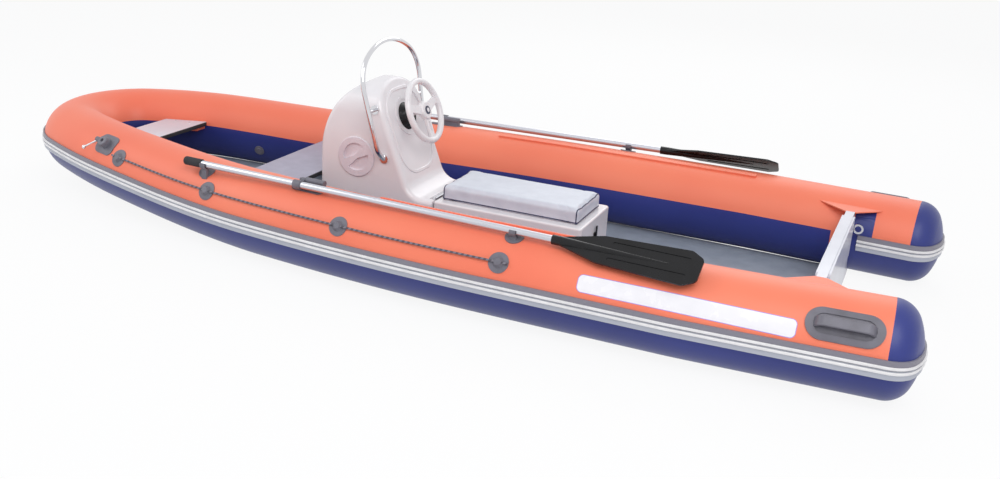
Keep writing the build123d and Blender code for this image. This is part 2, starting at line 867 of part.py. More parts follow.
# Handrail: one bent tube in a leaning plane, its feet swept in to flanges on the console's sides
side_face = console_half_width + seat_gap
rail_origin = Vector(rail_foot_x + rail_foot_fore, 0, rail_foot_height + rail_foot_rise)
rail_normal = Vector(cos(radians(rail_lean)), 0, -sin(radians(rail_lean)))
rail_plane = Plane(rail_origin, (0, 1, 0), rail_normal)
rail_foot = Vector(rail_foot_x, side_face, rail_foot_height)
with BuildLine(rail_plane) as rail_line:
    leg = Line((rail_base_half_width, 0), (rail_half_width, rail_leg))
    leg_splay = degrees(atan2(rail_half_width - rail_base_half_width, rail_leg))
    rail_side = JernArc(leg @ 1, leg % 1, rail_side_radius, 90 + leg_splay - rail_top_turn)
    rail_top_radius = (rail_side @ 1).Y / sin(radians(rail_top_turn))
    JernArc(rail_side @ 1, rail_side % 1, rail_top_radius, rail_top_turn)
    foot_sweep = TangentArc(leg @ 0, rail_foot, tangent=(leg % 0) * -1)
with BuildPart() as handrail:
    with BuildSketch(Plane(rail_foot, z_dir=(foot_sweep % 1) * -1)):
        Circle(rail_radius)
    sweep(path=rail_line.wires()[0])
    with BuildSketch(Plane(rail_foot, z_dir=(0, -1, 0))):
        Circle(flange_radius)
    extrude(amount=2 * rail_radius, mode=Mode.SUBTRACT)
    rail_joint = leg.position_at(rail_standoff / rail_leg)
    stub_plane = Plane((rail_joint.X, side_face, rail_joint.Z), z_dir=(0, 1, 0))
    with BuildSketch(stub_plane):
        Circle(stub_radius)
    extrude(amount=rail_joint.Y - side_face)
    for flange_plane in (stub_plane, Plane(rail_foot, z_dir=(0, 1, 0))):
        with BuildSketch(flange_plane):
            Circle(flange_radius)
        extrude(amount=flange_depth)
    mirror(about=Plane.XZ)
save(handrail, "handrail")

# Oars: each lies along its tube and swings up about the rowlock's pin, which runs beside it
oar_way = Vector(cos(radians(oar_angle)), sin(radians(oar_angle)), 0)
oar_plane = Plane((oar_collar_x, oar_collar_offset, oar_height), oar_way, (0, 0, 1))
oar_end_plane = Plane(oar_plane.origin, (0, 0, 1), oar_way)
shaft_aft = (oar_neck - oar_collar_x) / oar_way.X
shaft_fore = (oar_front - oar_collar_x) / oar_way.X
blade_length = (oar_neck - oar_blade_end) / oar_way.X
with BuildPart() as oar_shaft:
    with BuildSketch(oar_end_plane.offset(shaft_aft)):
        Circle(oar_shaft_radius)
    extrude(amount=shaft_fore - shaft_aft)
save_pair(oar_shaft, "oar_shaft")
with BuildPart() as oar_grip:
    with BuildSketch(oar_end_plane.offset(shaft_fore - grip_length)):
        Circle(oar_shaft_radius + grip_wall)
    extrude(amount=grip_length + grip_end)
    fillet(oar_grip.faces().sort_by(Axis.X)[-1].edges(), grip_rounding)
    with BuildSketch(oar_end_plane.offset(shaft_fore - grip_length)):
        Circle(oar_shaft_radius + seat_gap)
    extrude(amount=grip_length + seat_gap, mode=Mode.SUBTRACT)
save_pair(oar_grip, "oar_grip")

# Blade: a tilted plate with a spine that runs out of its socket, and two grooves in each face
blade_normal = oar_plane.z_dir * cos(radians(blade_tilt)) + oar_plane.y_dir * sin(radians(blade_tilt))
blade_plane = Plane(oar_plane.origin, oar_way, blade_normal)
blade_end = shaft_aft - blade_length
groove_middle = blade_end + blade_groove_setback + blade_groove_length / 2
blade_outline = (
    # reach along the oar, half width
    (shaft_aft, blade_neck_width / 2),
    (shaft_aft - blade_shoulder_length, blade_shoulder_width / 2),
    (blade_end + blade_tip_length, blade_width / 2),
    (blade_end, blade_tip_width / 2),
)
with BuildPart() as oar_blade:
    with BuildSketch(blade_plane) as blade_shape:
        Polygon(*blade_outline, *[(reach, -half) for reach, half in reversed(blade_outline)], align=None)
        fillet(blade_shape.vertices().sort_by(Axis.X)[:-2], blade_rounding)
    extrude(amount=blade_thickness / 2, both=True)
    for outward in (1, -1):
        groove_plane = blade_plane.offset(outward * (blade_thickness / 2 - blade_groove_depth))
        with BuildSketch(groove_plane):
            with Locations((groove_middle, blade_groove_offset), (groove_middle, -blade_groove_offset)):
                SlotOverall(blade_groove_length, blade_groove_width)
        extrude(amount=outward * 2 * blade_groove_depth, mode=Mode.SUBTRACT)
    with BuildSketch(oar_end_plane.offset(shaft_aft - seat_gap)):
        Circle(oar_shaft_radius + socket_wall)
    with BuildSketch(oar_end_plane.offset(shaft_aft - blade_length * blade_spine_share)):
        Circle(blade_spine_end)
    loft()
    with BuildSketch(oar_end_plane.offset(shaft_aft - seat_gap)):
        Circle(oar_shaft_radius + socket_wall)
    extrude(amount=socket_length)
    with BuildSketch(oar_end_plane.offset(shaft_aft - seat_gap)):
        Circle(oar_shaft_radius + seat_gap)
    extrude(amount=2 * socket_length, mode=Mode.SUBTRACT)
save_pair(oar_blade, "oar_blade")

# Collar: a ring round the shaft with an arm to the pin it turns on
pin_point = oar_plane.from_local_coords((0, -pin_offset, pin_rise))
pin_plane = Plane(pin_point, (0, 0, 1), oar_way)
with BuildPart() as oar_collar:
    with BuildSketch(oar_end_plane.offset(-collar_length / 2)):
        Circle(oar_shaft_radius + collar_wall)
    extrude(amount=collar_length)
    with BuildSketch(oar_end_plane.offset(-arm_depth / 2)):
        Polygon(
            (-arm_half_height, oar_shaft_radius), (arm_half_height, oar_shaft_radius),
            (pin_rise + arm_half_height, pin_offset), (pin_rise - arm_half_height, pin_offset), align=None,
        )
    extrude(amount=arm_depth)
    with BuildSketch(pin_plane.offset(-arm_depth / 2)):
        Circle(pin_eye_radius)
    extrude(amount=arm_depth)
    with BuildSketch(oar_end_plane.offset(-collar_length)):
        Circle(oar_shaft_radius + seat_gap)
    extrude(amount=2 * collar_length, mode=Mode.SUBTRACT)
    with BuildSketch(pin_plane.offset(-arm_depth)):
        Circle(pin_radius + pin_clearance)
    extrude(amount=2 * arm_depth, mode=Mode.SUBTRACT)
save_pair(oar_collar, "oar_collar")


def tube_surface(x, angle, lift=0):
    """Plane on the tube at an angle up from its outboard side: local x forward, local z outward."""
    along = along_at(x)
    across = station(along)
    outward = across.x_dir * cos(radians(angle)) + across.y_dir * sin(radians(angle))
    return Plane(across.origin + outward * (radius_at(along) + lift), across.z_dir, outward)


def round_section(along, lift):
    with BuildSketch(station(along)) as section:
        Circle(radius_at(along) + lift)
    return section.sketch


def tube_body(x, reach, lift):
    """A length of the tube about x, a lift larger than it, to cut what lies on the tube."""
    middle = along_at(x)
    with BuildPart() as body:
        if middle < straight_length:
            extrude(round_section(middle - reach, lift), amount=2 * reach)
        elif middle + reach < sheer_length:
            body_turn = degrees(2 * reach / shoulder_radius)
            revolve(round_section(middle - reach, lift), axis=shoulder_axis, revolution_arc=body_turn)
        else:
            stops = stations_between(middle - reach, middle + reach, 4)
            loft([round_section(along, lift) for along in stops])
    return body.part


def tube_pad(x, angle, size, corner, thickness, base=seat_gap):
    """A rounded pad that lies on the tube."""
    length, width = size
    radius = radius_at(along_at(x))
    sag = radius - sqrt(radius**2 - (width / 2) ** 2) + thickness
    with BuildPart() as pad:
        with BuildSketch(tube_surface(x, angle, -sag)):
            RectangleRounded(length, width, corner)
        extrude(amount=sag + 2 * thickness)
        reach = length / 2 + 2 * thickness
        add(tube_body(x, reach, thickness), mode=Mode.INTERSECT)
        add(tube_body(x, reach, base), mode=Mode.SUBTRACT)
    return pad.part


def tube_disc(x, angle, radius, thickness):
    return tube_pad(x, angle, (2 * radius, 2 * radius), radius - disc_margin, thickness)


# Rowlocks: a pad, a barrel beside the oar and the pin that the oar's collar turns on
rowlock_x = oar_collar_x - rowlock_setback
barrel_plane = pin_plane.offset(-arm_depth / 2 - arm_clearance)
with BuildPart() as rowlock:
    add(tube_pad(rowlock_x, rowlock_angle, rowlock_pad, rowlock_pad_corner, fitting_pad_depth))
    with BuildSketch(barrel_plane):
        Circle(barrel_radius)
        with Locations((-barrel_foot / 2, 0)):
            Rectangle(barrel_foot, barrel_web)
    extrude(amount=-barrel_length)
    with BuildSketch(barrel_plane):
        Circle(pin_radius)
    extrude(amount=arm_depth + 2 * arm_clearance + pin_head_length)
    with BuildSketch(pin_plane.offset(arm_depth / 2 + arm_clearance)):
        Circle(pin_radius + pin_head)
    extrude(amount=pin_head_length)
    add(tube_body(rowlock_x, 2 * barrel_length, seat_gap), mode=Mode.SUBTRACT)
save_both(rowlock, "rowlocks")



def oar_clip(x):
    """A clip under the oar's shaft at x, open at the top, on its own pad."""
    reach = (x - oar_collar_x) / oar_way.X
    shaft_point = oar_plane.from_local_coords((reach, 0, 0))
    beside = station(along_at(shaft_point.X)).to_local_coords(shaft_point)
    clip_angle = degrees(atan2(beside.Y, beside.X))
    clip_reach = oar_shaft_radius + clip_gap + clip_wall
    with BuildPart() as clip:
        with BuildSketch(oar_end_plane.offset(reach - clip_length / 2)):
            Circle(clip_reach)
            with Locations((clip_rise, 0)):
                Rectangle(clip_reach, 2 * clip_reach, align=(Align.MIN, Align.CENTER), mode=Mode.SUBTRACT)
            with Locations((-oar_shaft_radius, 0)):
                Rectangle(clip_stem_reach, clip_stem_width, align=(Align.MAX, Align.CENTER))
            Circle(oar_shaft_radius + clip_gap, mode=Mode.SUBTRACT)
        extrude(amount=clip_length)
        add(tube_disc(shaft_point.X, clip_angle, clip_pad_radius, fitting_pad_depth))
        add(tube_body(shaft_point.X, clip_pad_radius, seat_gap), mode=Mode.SUBTRACT)
    return clip.part


with BuildPart() as clip_row:
    for x in clip_places:
        add(oar_clip(x))
save_both(clip_row, "oar_clips")


def rope_section(along, radius):
    reach = radius_at(along) + rope_lift
    with BuildSketch(station(along)) as section:
        with Locations((reach * cos(radians(patch_angle)), reach * sin(radians(patch_angle)))):
            RegularPolygon(radius, rope_sides)
    return section.sketch


# Lifeline: a rope along each side, led through round patches
rope_stations = stations_between(along_at(rope_ends[0]), along_at(rope_ends[1]), rope_steps)
with BuildPart() as lifeline:
    loft([rope_section(along, rope_radius) for along in rope_stations])
save_both(lifeline, "lifelines")
with BuildPart() as rope_channel:
    loft([rope_section(along, rope_radius + seat_gap) for along in rope_stations])
with BuildPart() as rope_patch_row:
    for x in patch_places:
        add(tube_disc(x, patch_angle, patch_radius, patch_depth))
        with BuildSketch(tube_surface(x, patch_angle, patch_dome_foot)):
            Circle(patch_dome_radius)
        with BuildSketch(tube_surface(x, patch_angle, rope_lift + rope_radius + rope_cover)):
            Circle(patch_dome_top)
        loft()
    add(rope_channel.part, mode=Mode.SUBTRACT)
save_both(rope_patch_row, "rope_patches")


def arch(foot, span, rise, bend):
    """The outline of a handle's arch, from foot to foot."""
    with BuildSketch() as outline:
        Polygon((-foot, 0), (-span, rise), (span, rise), (foot, 0), align=None)
        fillet(outline.vertices().sort_by(Axis.Y)[2:], bend)
    return outline.sketch


# Carry handles near the stern ends: an oval pad with a recess, and a broad arched grip over it
handle_plane = tube_surface(handle_x, handle_angle)
handle_side = Plane(handle_plane.origin, handle_plane.x_dir, -handle_plane.y_dir)
pad_end = handle_pad[1] / 2 - disc_margin
recess_end = handle_recess[1] / 2 - disc_margin
recess_top = 2 * handle_pad_depth
with BuildPart() as handle_base:
    add(tube_pad(handle_x, handle_angle, handle_pad, pad_end, handle_pad_depth))
    handle_dish = tube_pad(handle_x, handle_angle, handle_recess, recess_end, recess_top, handle_recess_floor)
    add(handle_dish, mode=Mode.SUBTRACT)
with BuildPart() as carry_handle:
    with BuildSketch(handle_side):
        add(arch(handle_foot, handle_span, handle_rise, handle_bend))
        add(
            arch(
                handle_foot - handle_bar_thickness, handle_span - handle_bar_thickness,
                handle_rise - handle_bar_thickness, handle_bend - handle_bar_thickness,
            ),
            mode=Mode.SUBTRACT,
        )
    extrude(amount=handle_bar_width / 2, both=True)
    bar_faces = carry_handle.faces().filter_by(handle_side)
    fillet(bar_faces.edges(), handle_bar_rounding)
    add(handle_base.part)
    add(tube_body(handle_x, handle_pad[0] / 2, seat_gap), mode=Mode.SUBTRACT)
save_both(carry_handle, "carry_handles")

# Anchor-line lock on the port bow: a drum and a side arm on a pad, and the lever that frees the line
lock_plane = tube_surface(lock_x, lock_angle)
arm_end = lock_plane.from_local_coords((lock_arm_length, 0, lock_arm_height))
lever_line = Vector(*lever_way).normalized()
lever_foot = lock_plane.from_local_coords((lever_setback, 0, lock_arm_height))
lever_dir = lock_plane.from_local_coords(lever_line) - lock_plane.origin
lever_start = lever_foot + lever_dir * lever_seat
with BuildPart() as anchor_lock:
    with BuildSketch(lock_plane.offset(lock_drum_foot)):
        Circle(lock_drum_radius)
    extrude(amount=lock_drum_height - lock_drum_foot)
    fillet(anchor_lock.edges().sort_by(Axis(lock_plane.origin, lock_plane.z_dir))[-1], lock_drum_rounding)
    with BuildSketch(Plane(arm_end, z_dir=lock_plane.x_dir)):
        Circle(lock_arm_radius)
    extrude(amount=-lock_arm_length)
    with BuildSketch(lock_plane.offset(lock_drum_height)):
        Circle(lock_bore_radius)
    extrude(amount=-lock_bore_depth, mode=Mode.SUBTRACT)
    with BuildSketch(Plane(lever_start - lever_dir * seat_gap, z_dir=lever_dir)):
        Circle(lever_radius + seat_gap)
    extrude(amount=lever_length, mode=Mode.SUBTRACT)
    add(tube_pad(lock_x, lock_angle, lock_pad, lock_pad_corner, fitting_pad_depth))
save(anchor_lock, "anchor_lock")
with BuildPart() as anchor_lever:
    with BuildSketch(Plane(lever_start, z_dir=lever_dir)):
        Circle(lever_radius)
    extrude(amount=lever_length)
    with Locations(lever_start + lever_dir * lever_length):
        Sphere(lever_ball_radius)
save(anchor_lever, "anchor_lever")

# Bench boards, and the fabric shelves on the tubes that carry their ends
shelves = []
for name, aft_x, fore_x, under in benches:
    aft_half, fore_half = [
        min(inner_face(x, under), inner_face(x, under + bench_thickness)) - bench_clearance
        for x in (aft_x, fore_x)
    ]
    with BuildPart() as bench:
        with BuildSketch(Plane.XY.offset(under)):
            Polygon(
                (aft_x, aft_half), (fore_x, fore_half), (fore_x, -fore_half), (aft_x, -aft_half), align=None
            )
        extrude(amount=bench_thickness)
        fillet(bench.edges().filter_by(Axis.Z), bench_corner)
    save(bench, name)
    shelf_aft = aft_x + shelf_setback
    shelf_fore = fore_x - shelf_setback
    with BuildPart() as shelf:
        with BuildSketch(Plane.XY.offset(under - seat_gap)):
            Polygon(
                (shelf_aft, aft_half - shelf_width), (shelf_fore, fore_half - shelf_width),
                (shelf_fore, fore_half + shelf_reach), (shelf_aft, aft_half + shelf_reach), align=None,
            )
        extrude(amount=-shelf_depth)
        add(tube_body((aft_x + fore_x) / 2, fore_x - aft_x, seat_gap), mode=Mode.SUBTRACT)
    shelves.append(shelf.part)
with BuildPart() as shelf_row:
    for shelf_part in shelves:
        add(shelf_part)
save_both(shelf_row, "bench_shelves")


def track_section(along):
    across = station(along)
    outward = across.x_dir * cos(radians(track_angle)) + across.y_dir * sin(radians(track_angle))
    foot = across.origin + outward * (radius_at(along) + track_gap)
    with BuildSketch(Plane(foot, outward, across.z_dir)) as section:
        Rectangle(track_depth, track_width, align=(Align.MIN, Align.CENTER))
    return section.sketch


# Track strips for a sliding bench, on top of the tubes
track_stations = stations_between(along_at(track_ends[0]), along_at(track_ends[1]), track_steps)
with BuildPart() as bench_track:
    loft([track_section(along) for along in track_stations])
save_both(bench_track, "bench_tracks")


def air_valve(x, angle):
    with BuildPart() as valve:
        add(tube_disc(x, angle, valve_radius, valve_depth))
        with BuildSketch(tube_surface(x, angle, valve_depth / 2)):
            Circle(valve_cap_radius)
        extrude(amount=valve_cap_depth - valve_depth / 2)
    return valve.part


# Air valves on the tubes' inner sides
with BuildPart() as air_valves:
    for x, angle, side_sign in valve_places:
        if side_sign > 0:
            add(air_valve(x, angle))
        else:
            mirror(air_valve(x, angle), about=Plane.XZ)
save(air_valves, "air_valves")
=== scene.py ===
import math
import bpy
from mathutils import Matrix, Vector


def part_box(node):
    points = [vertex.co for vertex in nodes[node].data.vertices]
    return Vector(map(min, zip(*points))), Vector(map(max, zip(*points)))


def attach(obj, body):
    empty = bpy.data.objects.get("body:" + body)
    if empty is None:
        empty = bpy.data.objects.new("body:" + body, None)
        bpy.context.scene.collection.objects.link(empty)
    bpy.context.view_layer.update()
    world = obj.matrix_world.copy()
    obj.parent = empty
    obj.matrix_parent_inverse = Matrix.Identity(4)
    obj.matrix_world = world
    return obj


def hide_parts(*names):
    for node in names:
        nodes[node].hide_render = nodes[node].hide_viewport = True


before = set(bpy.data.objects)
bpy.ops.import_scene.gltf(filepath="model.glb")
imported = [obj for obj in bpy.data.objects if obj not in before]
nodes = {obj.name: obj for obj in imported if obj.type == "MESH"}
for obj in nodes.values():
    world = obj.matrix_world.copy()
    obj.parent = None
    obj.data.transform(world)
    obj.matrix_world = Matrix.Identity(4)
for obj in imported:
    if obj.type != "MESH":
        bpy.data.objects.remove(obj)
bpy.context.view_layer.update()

print("frame loaded:", len(nodes), "CAD nodes")


# Colour and node helpers

def linearColour(hexText, alpha=1.0):
    parts = [int(hexText[i:i + 2], 16) / 255 for i in (1, 3, 5)]
    return [c / 12.92 if c <= 0.04045 else ((c + 0.055) / 1.055) ** 2.4 for c in parts] + [alpha]


def addNode(tree, kind, links=None, **settings):
    # one node with its settings; links maps a socket to a value or to another node's output
    node = tree.nodes.new(kind)
    for key, value in settings.items():
        setattr(node, key, value)
    for socket, source in (links or {}).items():
        if isinstance(source, bpy.types.NodeSocket):
            tree.links.new(source, node.inputs[socket])
        else:
            node.inputs[socket].default_value = source
    return node


def newMaterial(name, **sockets):
    material = bpy.data.materials.new(name)
    material.use_nodes = True
    shader = material.node_tree.nodes["Principled BSDF"]
    for socket, value in sockets.items():
        shader.inputs[socket.replace("_", " ")].default_value = value
    return material, material.node_tree, shader


def objectPlace(tree):
    return addNode(tree, "ShaderNodeTexCoord").outputs["Object"]


def tintBy(tree, factor, dark, light, low=0.3, high=0.7):
    # a two-colour ramp driven by a pattern
    ramp = addNode(tree, "ShaderNodeValToRGB", {"Fac": factor})
    ramp.color_ramp.elements[0].position = low
    ramp.color_ramp.elements[0].color = linearColour(dark)
    ramp.color_ramp.elements[1].position = high
    ramp.color_ramp.elements[1].color = linearColour(light)
    return ramp.outputs["Color"]


def bumpFrom(tree, shader, height, strength, distance, under=None):
    links = {"Height": height, "Strength": strength, "Distance": distance}
    if under is not None:
        links["Normal"] = under
    bump = addNode(tree, "ShaderNodeBump", links)
    tree.links.new(bump.outputs["Normal"], shader.inputs["Normal"])
    return bump.outputs["Normal"]


def mm(size):
    # texture scale, in repeats a metre, for a feature of this many millimetres
    return 1000.0 / size


# Coated fabric: a woven cloth with a calendered skin, so it is satin with a faint grain and slow ripples
fabricLook = {"grainMm": 5.0, "rippleMm": 420.0, "fadeMm": 900.0, "grainDepth": 0.0004, "rippleDepth": 0.010,
              "grainStrength": 0.35, "rippleStrength": 0.25, "sheen": 0.08, "sheenRoughness": 0.4}


def coatedFabric(name, dark, light, roughness=0.46):
    material, tree, shader = newMaterial(name, Roughness=roughness, IOR=1.5, Sheen_Weight=fabricLook["sheen"],
                                         Sheen_Roughness=fabricLook["sheenRoughness"])
    place = objectPlace(tree)
    fade = addNode(tree, "ShaderNodeTexNoise", {"Vector": place, "Scale": mm(fabricLook["fadeMm"]),
                                                "Detail": 3.0})
    tree.links.new(tintBy(tree, fade.outputs["Fac"], dark, light), shader.inputs["Base Color"])
    ripple = addNode(tree, "ShaderNodeTexNoise", {"Vector": place, "Scale": mm(fabricLook["rippleMm"]),
                                                  "Detail": 1.0})
    slow = bumpFrom(tree, shader, ripple.outputs["Fac"], fabricLook["rippleStrength"],
                    fabricLook["rippleDepth"])
    # the real weave is about 1 mm, too fine to show, so the grain is drawn at 5 mm
    grain = addNode(tree, "ShaderNodeTexNoise", {"Vector": place, "Scale": mm(fabricLook["grainMm"]),
                                                 "Detail": 4.0})
    bumpFrom(tree, shader, grain.outputs["Fac"], fabricLook["grainStrength"], fabricLook["grainDepth"], slow)
    return material


# Gelcoat on glass fibre: a smooth sprayed skin with a soft gloss and the faintest orange peel
gelcoatLook = {"peelMm": 14.0, "stainMm": 260.0, "peelStrength": 0.08, "peelDepth": 0.0006, "coat": 0.25,
               "coatRoughness": 0.12}


def gelcoat(name, dark, light, roughness=0.26):
    material, tree, shader = newMaterial(name, Roughness=roughness, IOR=1.5, Coat_Weight=gelcoatLook["coat"],
                                         Coat_Roughness=gelcoatLook["coatRoughness"])
    place = objectPlace(tree)
    stain = addNode(tree, "ShaderNodeTexNoise", {"Vector": place, "Scale": mm(gelcoatLook["stainMm"]),
                                                 "Detail": 3.0})
    tree.links.new(tintBy(tree, stain.outputs["Fac"], dark, light), shader.inputs["Base Color"])
    peel = addNode(tree, "ShaderNodeTexNoise", {"Vector": place, "Scale": mm(gelcoatLook["peelMm"]),
                                                "Detail": 2.0})
    bumpFrom(tree, shader, peel.outputs["Fac"], gelcoatLook["peelStrength"], gelcoatLook["peelDepth"])
    return material


# Moulded plastic, rubber, film and paint: an even fine grain, with colour and gloss a little patchy
mouldedLook = {"wearMm": 70.0, "glossier": 0.05, "duller": 0.06, "grainStrength": 0.3}


def moulded(name, dark, light, roughness, grainMm=2.4, depth=0.0002, ior=1.49):
    material, tree, shader = newMaterial(name, IOR=ior)
    place = objectPlace(tree)
    grain = addNode(tree, "ShaderNodeTexNoise", {"Vector": place, "Scale": mm(grainMm), "Detail": 3.0})
    wear = addNode(tree, "ShaderNodeTexNoise", {"Vector": place, "Scale": mm(mouldedLook["wearMm"]),
                                                "Detail": 4.0})
    tree.links.new(tintBy(tree, wear.outputs["Fac"], dark, light), shader.inputs["Base Color"])
    rough = addNode(tree, "ShaderNodeMapRange", {"Value": wear.outputs["Fac"],
                                                 "To Min": roughness - mouldedLook["glossier"],
                                                 "To Max": roughness + mouldedLook["duller"]})
    tree.links.new(rough.outputs["Result"], shader.inputs["Roughness"])
    bumpFrom(tree, shader, grain.outputs["Fac"], mouldedLook["grainStrength"], depth)
    return material


# Polished or drawn metal: faint smears break up the reflection
metalLook = {"cleaner": 0.7, "duller": 1.4, "smearStrength": 0.05, "smearDepth": 0.0002}


def metal(name, colour, roughness, streakMm, streakStretch=(1.0, 1.0, 1.0)):
    material, tree, shader = newMaterial(name, Base_Color=linearColour(colour), Metallic=1.0)
    place = objectPlace(tree)
    stretched = addNode(tree, "ShaderNodeMapping", {"Vector": place, "Scale": streakStretch})
    streak = addNode(tree, "ShaderNodeTexNoise", {"Vector": stretched.outputs["Vector"],
                                                  "Scale": mm(streakMm), "Detail": 4.0})
    rough = addNode(tree, "ShaderNodeMapRange", {"Value": streak.outputs["Fac"],
                                                 "To Min": roughness * metalLook["cleaner"],
                                                 "To Max": roughness * metalLook["duller"]})
    tree.links.new(rough.outputs["Result"], shader.inputs["Roughness"])
    bumpFrom(tree, shader, streak.outputs["Fac"], metalLook["smearStrength"], metalLook["smearDepth"])
    return material


# tube skins: satin, faded a little in patches, with slow ripples
orangeFabric = coatedFabric("coated fabric, coral orange", "#f3775a", "#fa8666")
# the same cloth in navy, a little glossier
blueFabric = coatedFabric("coated fabric, navy", "#222c72", "#2b3784", 0.42)
# hull, console and seat box: soft gloss, faint peel
whiteGelcoat = gelcoat("gelcoat, white", "#e9e5e8", "#f0edef")
# transom and bow bench: a shade darker and duller than the white
greyGelcoat = gelcoat("gelcoat, light grey", "#cdced8", "#dadbe4", 0.3)
# deck: a coarse grain underfoot that kills the gloss
deckGrey = moulded("non-slip gelcoat, grey", "#949ca8", "#a2aab5", 0.55, 6.0, 0.0008)
# tube fittings: dull, slightly mottled
greyPlastic = moulded("nylon, mid grey", "#66646d", "#75737d", 0.46)
# strake ribs: clean and satin
whiteRubber = moulded("extruded rubber, white", "#e3e1e1", "#efeded", 0.38, 3.0)
# blades, bezel and latch: near black with a clear gloss
blackPlastic = moulded("ABS, black", "#09090c", "#101014", 0.27, 2.0, ior=1.4)
# grips and edging: fine grain, no gloss
blackRubber = moulded("foam rubber, black", "#1d1d21", "#2a2a2f", 0.7, 1.6, 0.0004)
# steering wheel: smooth with a mild gloss
whitePlastic = moulded("ABS, white", "#e9e5e7", "#f3f0f1", 0.28, 3.0, 0.0001)
# rail, eyes and screws: mirror bright with faint smears
chromeSteel = metal("polished stainless steel", "#d6d6da", 0.07, 40.0)
# hinge: bright but soft, with fore-and-aft brushing
satinSteel = metal("brushed stainless steel", "#bdbdc2", 0.24, 6.0, (0.1, 1.0, 1.0))
# oar shafts: pale, with fine drawn lines along the boat
drawnAluminium = metal("anodised aluminium tube", "#c9cad2", 0.3, 4.0, (0.02, 1.0, 1.0))
# cushion cover: fine leather-like grain
greyVinyl = moulded("upholstery vinyl, silver grey", "#cdd1dc", "#d7dbe5", 0.38, 3.5, 0.0003)
# mid bench: rolled paint over ply, darkened to a mauve grey as painted shade and painted reflection of the
# tubes
mauveShadedBench = moulded("painted marine plywood, mauve grey painted shade", "#9391a6", "#a3a1b4", 0.34, 5.0)
# hatch cover: the console's white, darker and more lilac as painted shade
lilacShadedHatch = moulded("ABS, white with painted lilac shade", "#e1d9e0", "#e9e2e8", 0.26, 3.0, 0.0001)
# a thin violet line round the plate
violetInk = moulded("printed vinyl film, violet edge", "#a58fe0", "#b39ee8", 0.3, 4.0)
# the plate's bare face, smooth
whiteFilm = moulded("printed vinyl film, white", "#f1eff3", "#f7f5f8", 0.26, 9.0, 0.0001)
# a dark line along the cushion's seams
navyPiping = moulded("welted vinyl piping, navy", "#1c2145", "#262c55", 0.4, 3.0)
# wheel cap: hard and glossy
navyEnamel = moulded("enamel, dark navy", "#1b2040", "#23294c", 0.22, 4.0)


# Extruded rubbing strake: a dark upper lip and a pale lower lip, parted along the run between the ribs; the
# pale lower lip is painted reflection of light from the floor
strakeLook = {"middle": 0.230, "riseStart": 2.850, "riseEnd": 4.470, "rise": 0.062, "blendWidth": 0.006,
              "upper": "#85828d", "lower": "#b4b7c1", "roughness": 0.42, "grainMm": 3.0, "grainStrength": 0.3,
              "grainDepth": 0.0002}


def strakeWithPaintedReflection():
    material, tree, shader = newMaterial("extruded rubber, grey, lower lip painted reflection", Roughness=strakeLook["roughness"],
                                         IOR=1.5)
    place = objectPlace(tree)
    parts = addNode(tree, "ShaderNodeSeparateXYZ", {"Vector": place})
    middle = addNode(tree, "ShaderNodeMapRange", {
        "Value": parts.outputs["X"], "From Min": strakeLook["riseStart"], "From Max": strakeLook["riseEnd"],
        "To Min": strakeLook["middle"], "To Max": strakeLook["middle"] + strakeLook["rise"]},
        interpolation_type="SMOOTHSTEP")
    above = addNode(tree, "ShaderNodeMath", {0: parts.outputs["Z"], 1: middle.outputs["Result"]},
                    operation="SUBTRACT")
    share = addNode(tree, "ShaderNodeMapRange", {"Value": above.outputs["Value"],
                                                 "From Min": -strakeLook["blendWidth"],
                                                 "From Max": strakeLook["blendWidth"]})
    # the grey rubber above, and below it a paler grey that is painted floor reflection
    tree.links.new(tintBy(tree, share.outputs["Result"], strakeLook["lower"], strakeLook["upper"]),
                   shader.inputs["Base Color"])
    grain = addNode(tree, "ShaderNodeTexNoise", {"Vector": place, "Scale": mm(strakeLook["grainMm"]),
                                                 "Detail": 3.0})
    bumpFrom(tree, shader, grain.outputs["Fac"], strakeLook["grainStrength"], strakeLook["grainDepth"])
    return material


# Laid rope: three twisted strands show as slanting light and dark turns, 28 mm along the boat; the dark lies
# down in the grooves between the strands as painted shade
ropeLook = {"turnMm": 28.0, "waveRadians": 10.0, "unevenness": 0.6, "dark": "#55515a", "light": "#827d86",
            "strength": 0.8, "depth": 0.0018, "slant": (1.0, 0.6, 0.9)}


def laidRope():
    material, tree, shader = newMaterial("laid polyester rope, grey", Roughness=0.75, IOR=1.46,
                                         Sheen_Weight=0.15)
    slanted = addNode(tree, "ShaderNodeMapping", {"Vector": objectPlace(tree), "Scale": ropeLook["slant"]})
    # a diagonal wave runs through 10 radians along each unit of its own length
    waveScale = mm(ropeLook["turnMm"]) * math.tau / ropeLook["waveRadians"]
    turns = addNode(tree, "ShaderNodeTexWave", {"Vector": slanted.outputs["Vector"], "Scale": waveScale,
                                                "Distortion": ropeLook["unevenness"]},
                    bands_direction="DIAGONAL")
    # darker where the bump is low, in the grooves between strands: painted shade
    tree.links.new(tintBy(tree, turns.outputs["Fac"], ropeLook["dark"], ropeLook["light"]),
                   shader.inputs["Base Color"])
    bumpFrom(tree, shader, turns.outputs["Fac"], ropeLook["strength"], ropeLook["depth"])
    return material


strakePaintedReflection = strakeWithPaintedReflection()
greyRope = laidRope()

